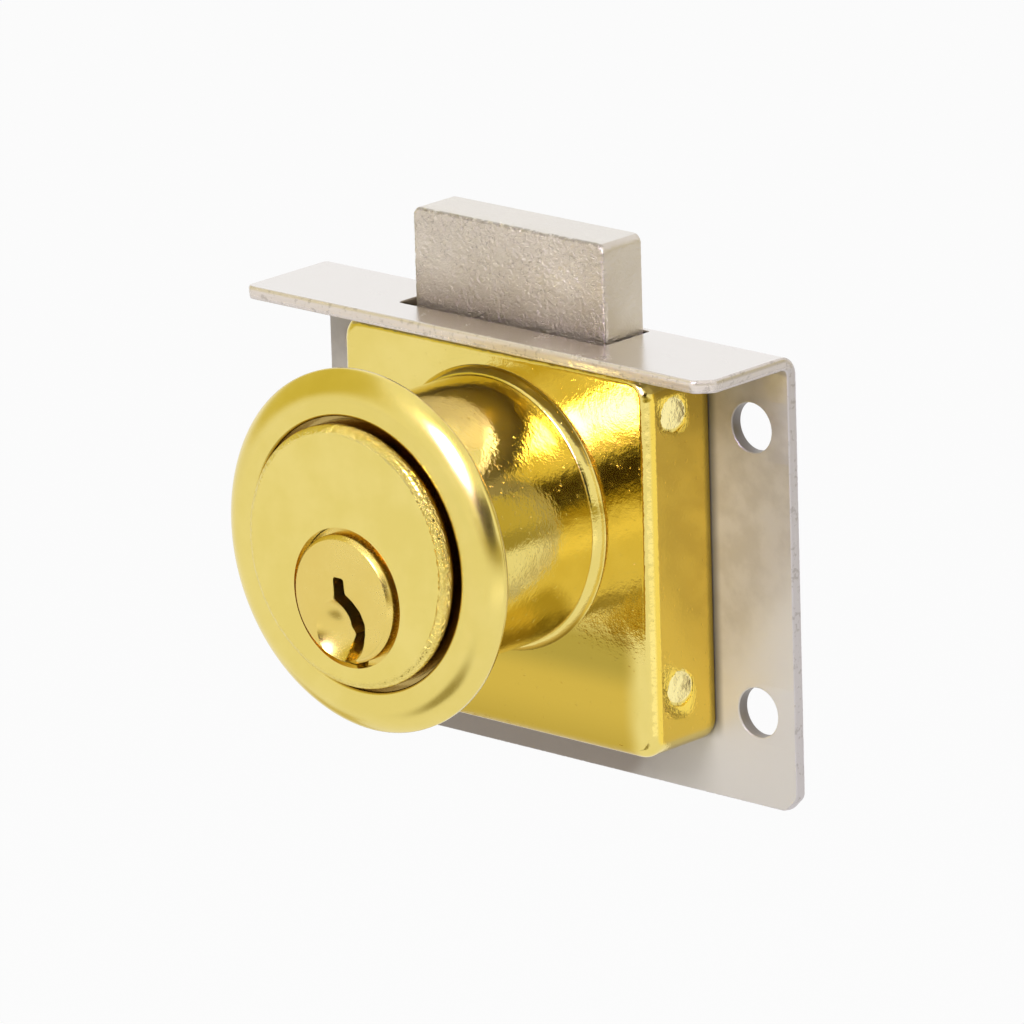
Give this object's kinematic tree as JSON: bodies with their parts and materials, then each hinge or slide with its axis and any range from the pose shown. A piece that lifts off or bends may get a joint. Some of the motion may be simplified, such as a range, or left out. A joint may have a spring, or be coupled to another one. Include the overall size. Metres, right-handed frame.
{
  "type": "furniture lock",
  "caption": "Half-mortise drawer deadbolt: L-bent plate, plated case with a round neck, trim ring, pin-tumbler plug and a square bolt that slides out of the top flange.",
  "frame": {"origin": "on the plug's axis, on the front face of the plate, which is the centre of the four screw holes", "axes": "+X to the right seen from the key side, +Y to the back of the drawer front, +Z the way the bolt is thrown"},
  "size_m": [0.056, 0.0302, 0.0517],
  "materials": {
    "nickel_plate": "nickel plated, satin",
    "brass_casting": "brass plated, polished, with casting texture",
    "brass_ring": "brass plated, polished",
    "brass_plug": "turned brass, satin",
    "nickel_bolt": "nickel plated, fine cast grain",
    "steel_crank": "zinc plated",
    "brass_pins": "turned",
    "steel_pins": "turned",
    "spring_wire": "drawn wire"
  },
  "bodies": {
    "fixed": {"mounting_plate": "nickel_plate", "lock_body": "brass_casting", "trim_ring": "brass_ring", "chamber_plugs": "brass_pins", "pin_spring_1": "spring_wire", "pin_spring_2": "spring_wire", "pin_spring_3": "spring_wire", "pin_spring_4": "spring_wire", "pin_spring_5": "spring_wire"},
    "turning": {"plug": "brass_plug", "crank": "steel_crank", "crank_screw": "steel_crank"},
    "sliding": {"bolt": "nickel_bolt"},
    "lower_pin_1": {"key_pin_1": "brass_pins"},
    "upper_pin_1": {"driver_pin_1": "steel_pins"},
    "lower_pin_2": {"key_pin_2": "brass_pins"},
    "upper_pin_2": {"driver_pin_2": "steel_pins"},
    "lower_pin_3": {"key_pin_3": "brass_pins"},
    "upper_pin_3": {"driver_pin_3": "steel_pins"},
    "lower_pin_4": {"key_pin_4": "brass_pins"},
    "upper_pin_4": {"driver_pin_4": "steel_pins"},
    "lower_pin_5": {"key_pin_5": "brass_pins"},
    "upper_pin_5": {"driver_pin_5": "steel_pins"}
  },
  "joints": [
    {"name": "plug_turn", "type": "hinge", "parent": "fixed", "child": "turning", "pos_m": [0, 0, 0], "axis": [0, 1, 0], "range_deg": [0, 180]},
    {"name": "bolt_slide", "type": "slide", "parent": "fixed", "child": "sliding", "axis": [0, 0, 1], "range_m": [-0.009, 0]},
    {"name": "key_pin_1_slide", "type": "slide", "parent": "turning", "child": "lower_pin_1", "axis": [0, 0, 1], "range_m": [-0.0024, 0]},
    {"name": "driver_pin_1_slide", "type": "slide", "parent": "fixed", "child": "upper_pin_1", "axis": [0, 0, 1], "range_m": [0, 0.002], "stiffness_N_per_m": 100, "springref_m": -0.003, "deforming": ["pin_spring_1"]},
    {"name": "key_pin_2_slide", "type": "slide", "parent": "turning", "child": "lower_pin_2", "axis": [0, 0, 1], "range_m": [-0.0016, 0]},
    {"name": "driver_pin_2_slide", "type": "slide", "parent": "fixed", "child": "upper_pin_2", "axis": [0, 0, 1], "range_m": [0, 0.002], "stiffness_N_per_m": 100, "springref_m": -0.003, "deforming": ["pin_spring_2"]},
    {"name": "key_pin_3_slide", "type": "slide", "parent": "turning", "child": "lower_pin_3", "axis": [0, 0, 1], "range_m": [-0.0029, 0]},
    {"name": "driver_pin_3_slide", "type": "slide", "parent": "fixed", "child": "upper_pin_3", "axis": [0, 0, 1], "range_m": [0, 0.002], "stiffness_N_per_m": 100, "springref_m": -0.003, "deforming": ["pin_spring_3"]},
    {"name": "key_pin_4_slide", "type": "slide", "parent": "turning", "child": "lower_pin_4", "axis": [0, 0, 1], "range_m": [-0.002, 0]},
    {"name": "driver_pin_4_slide", "type": "slide", "parent": "fixed", "child": "upper_pin_4", "axis": [0, 0, 1], "range_m": [0, 0.002], "stiffness_N_per_m": 100, "springref_m": -0.003, "deforming": ["pin_spring_4"]},
    {"name": "key_pin_5_slide", "type": "slide", "parent": "turning", "child": "lower_pin_5", "axis": [0, 0, 1], "range_m": [-0.0026, 0]},
    {"name": "driver_pin_5_slide", "type": "slide", "parent": "fixed", "child": "upper_pin_5", "axis": [0, 0, 1], "range_m": [0, 0.002], "stiffness_N_per_m": 100, "springref_m": -0.003, "deforming": ["pin_spring_5"]}
  ],
  "couplings": [
    {"joint": "plug_turn", "follows": "bolt_slide", "rad_per_m": -349.06}
  ]
}
